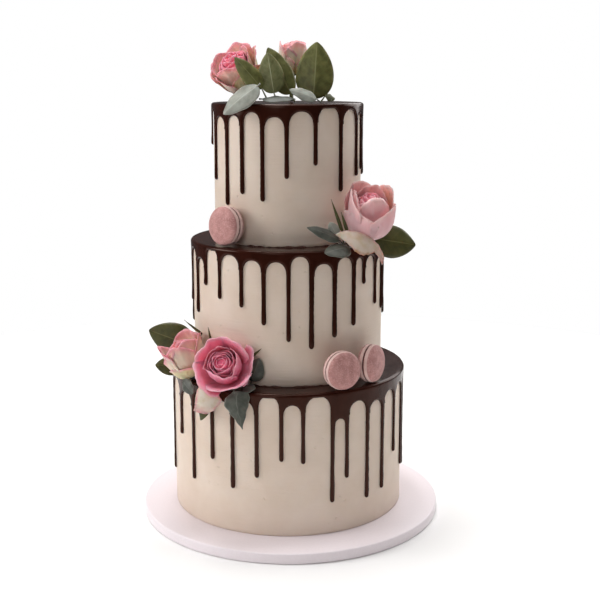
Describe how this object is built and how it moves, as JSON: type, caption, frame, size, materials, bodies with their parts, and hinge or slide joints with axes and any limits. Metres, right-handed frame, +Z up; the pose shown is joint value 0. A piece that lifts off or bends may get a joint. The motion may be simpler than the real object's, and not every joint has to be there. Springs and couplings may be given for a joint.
{
  "type": "tiered wedding cake",
  "caption": "Round tiered drip cake on a board: buttercream tiers under poured dark ganache, dressed with roses, leaves and macarons.",
  "frame": {"origin": "middle of the round board's underside", "axes": "+Z up through the cake, -Y towards the viewer of the picture, +X to the viewer's right"},
  "size_m": [0.355, 0.355, 0.5552],
  "materials": {
    "board": "satin foil covering on a cake drum",
    "buttercream": "smoothed ivory buttercream with small air pits",
    "ganache": "glossy dark poured ganache",
    "macaron_shell": "dry dusty pink meringue shell",
    "macaron_filling": "dark filling",
    "rose_pink": "fresh petals, soft sheen",
    "rose_pale": "fresh petals, soft sheen",
    "petal_cream": "fresh petal, soft sheen",
    "leaf_green": "waxy olive-green leaf",
    "leaf_grey": "dusty grey-green leaf"
  },
  "bodies": {
    "root": {"board": "board", "tier_bottom": "buttercream", "tier_middle": "buttercream", "tier_top": "buttercream", "ganache_bottom": "ganache", "ganache_middle": "ganache", "ganache_top": "ganache", "macaron_left_shell_front": "macaron_shell", "macaron_left_filling": "macaron_filling", "macaron_left_shell_back": "macaron_shell", "macaron_right_shell_front": "macaron_shell", "macaron_right_filling": "macaron_filling", "macaron_right_shell_back": "macaron_shell", "macaron_far_right_shell_front": "macaron_shell", "macaron_far_right_filling": "macaron_filling", "macaron_far_right_shell_back": "macaron_shell", "rose_crown_left": "rose_pink", "rose_crown_back": "rose_pale", "rose_right": "rose_pink", "rose_left_pink": "rose_pink", "rose_left_pale": "rose_pale", "petal_right": "petal_cream", "petal_left": "petal_cream", "leaf_crown_1": "leaf_green", "leaf_crown_2": "leaf_green", "leaf_crown_3": "leaf_green", "leaf_crown_4": "leaf_green", "leaf_crown_5": "leaf_grey", "leaf_crown_6": "leaf_grey", "leaf_crown_7": "leaf_grey", "leaf_crown_8": "leaf_green", "leaf_right_1": "leaf_green", "leaf_right_2": "leaf_grey", "leaf_right_3": "leaf_grey", "leaf_right_4": "leaf_grey", "leaf_left_1": "leaf_green", "leaf_left_2": "leaf_green", "leaf_left_3": "leaf_grey", "leaf_left_4": "leaf_grey", "leaf_left_5": "leaf_grey", "leaf_left_6": "leaf_green", "leaf_left_7": "leaf_grey", "sepal_right_1": "leaf_green", "sepal_right_2": "leaf_green", "sepal_left_1": "leaf_green", "sepal_left_2": "leaf_green", "sepal_left_3": "leaf_green"}
  },
  "joints": []
}
